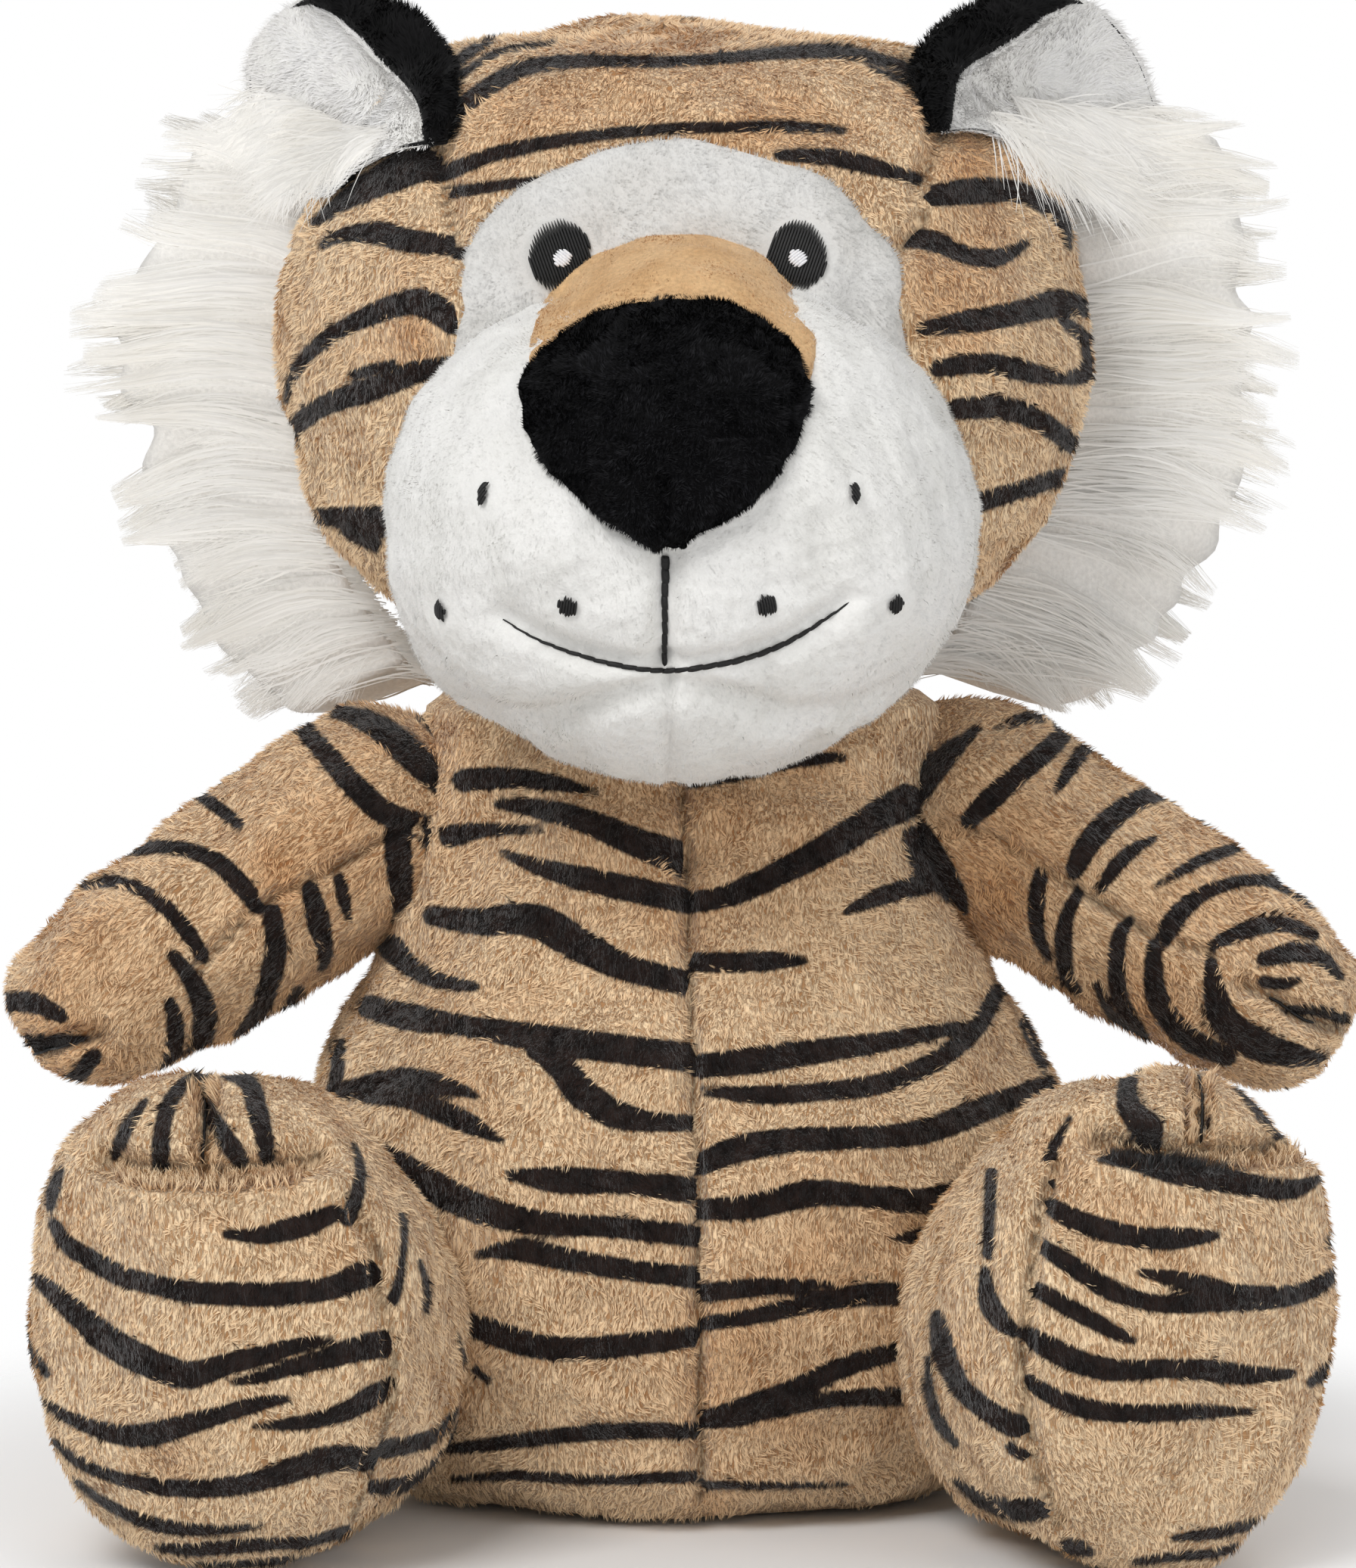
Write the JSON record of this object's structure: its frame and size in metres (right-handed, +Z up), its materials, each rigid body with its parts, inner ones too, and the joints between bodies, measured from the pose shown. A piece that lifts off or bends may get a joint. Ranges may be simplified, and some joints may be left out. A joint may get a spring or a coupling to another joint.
{
  "type": "plush tiger",
  "caption": "Seated plush tiger with stuffed arms, legs and tail that move at their seams, a head that turns, a padded white muzzle and a long white side mane.",
  "frame": {"origin": "centre of the flat seat panel, on the surface that the toy sits on", "axes": "+Z up, the face looks along -Y, +X to the right of someone who faces the toy"},
  "size_m": [0.2136, 0.2075, 0.2381],
  "materials": {
    "tan_plush": "short-pile plush, tan with brown-black stripes",
    "smooth_tan": "smooth short-nap tan cloth",
    "white_plush": "short-pile off-white plush",
    "long_white_fur": "long-pile off-white faux fur",
    "black_plush": "short-pile black plush",
    "black_knit": "black brushed knit",
    "black_thread": "embroidery thread",
    "white_thread": "embroidery thread",
    "fibre": "loose polyester fibre"
  },
  "bodies": {
    "torso": {"torso_cover": "tan_plush", "torso_filling": "fibre", "seat_panel": "tan_plush"},
    "head": {"head_cover": "tan_plush", "head_filling": "fibre", "face_patch": "white_plush", "muzzle_cover": "white_plush", "muzzle_filling": "fibre", "chin_panel": "white_plush", "nose_bridge": "smooth_tan", "nose": "black_knit", "eye_left": "black_thread", "eye_right": "black_thread", "highlight_left": "white_thread", "highlight_right": "white_thread", "whisker_dot_upper_left": "black_thread", "whisker_dot_upper_right": "black_thread", "whisker_dot_lower_outer_left": "black_thread", "whisker_dot_lower_outer_right": "black_thread", "whisker_dot_lower_inner_left": "black_thread", "whisker_dot_lower_inner_right": "black_thread", "mouth_seam": "black_thread", "smile_stitch": "black_thread", "ear_lining_left": "white_plush", "ear_lining_right": "white_plush", "ear_back_left": "black_plush", "ear_back_right": "black_plush", "mane_left": "long_white_fur", "mane_right": "long_white_fur"},
    "arm_left": {"arm_cover_left": "tan_plush", "arm_filling_left": "fibre", "paw_stitch_left": "black_thread"},
    "arm_right": {"arm_cover_right": "tan_plush", "arm_filling_right": "fibre", "paw_stitch_right": "black_thread"},
    "leg_left": {"leg_cover_left": "tan_plush", "leg_filling_left": "fibre", "toe_stitch_left": "black_thread"},
    "leg_right": {"leg_cover_right": "tan_plush", "leg_filling_right": "fibre", "toe_stitch_right": "black_thread"},
    "tail": {"tail": "tan_plush"}
  },
  "joints": [
    {"name": "neck_turn", "type": "hinge", "parent": "torso", "child": "head", "pos_m": [0, 0, 0.1313], "axis": [0, 0, 1], "range_deg": [-20, 20], "stiffness_Nm_per_rad": 0.05},
    {"name": "shoulder_left", "type": "hinge", "parent": "torso", "child": "arm_left", "pos_m": [-0.0484, -0.00424, 0.10703], "axis": [0, 1, 0], "range_deg": [0, 35], "stiffness_Nm_per_rad": 0.03},
    {"name": "shoulder_right", "type": "hinge", "parent": "torso", "child": "arm_right", "pos_m": [0.0484, -0.00424, 0.10703], "axis": [0, -1, 0], "range_deg": [0, 35], "stiffness_Nm_per_rad": 0.03},
    {"name": "hip_left", "type": "hinge", "parent": "torso", "child": "leg_left", "pos_m": [-0.05422, -0.02862, 0.03], "axis": [-0.9455, 0.3256, 0], "range_deg": [0, 18], "stiffness_Nm_per_rad": 0.05},
    {"name": "hip_right", "type": "hinge", "parent": "torso", "child": "leg_right", "pos_m": [0.05422, -0.02862, 0.03], "axis": [-0.9455, -0.3256, 0], "range_deg": [0, 18], "stiffness_Nm_per_rad": 0.05},
    {"name": "tail_swing", "type": "hinge", "parent": "torso", "child": "tail", "pos_m": [0, 0.05213, 0.01834], "axis": [0, 0, 1], "range_deg": [-25, 25], "stiffness_Nm_per_rad": 0.01}
  ]
}
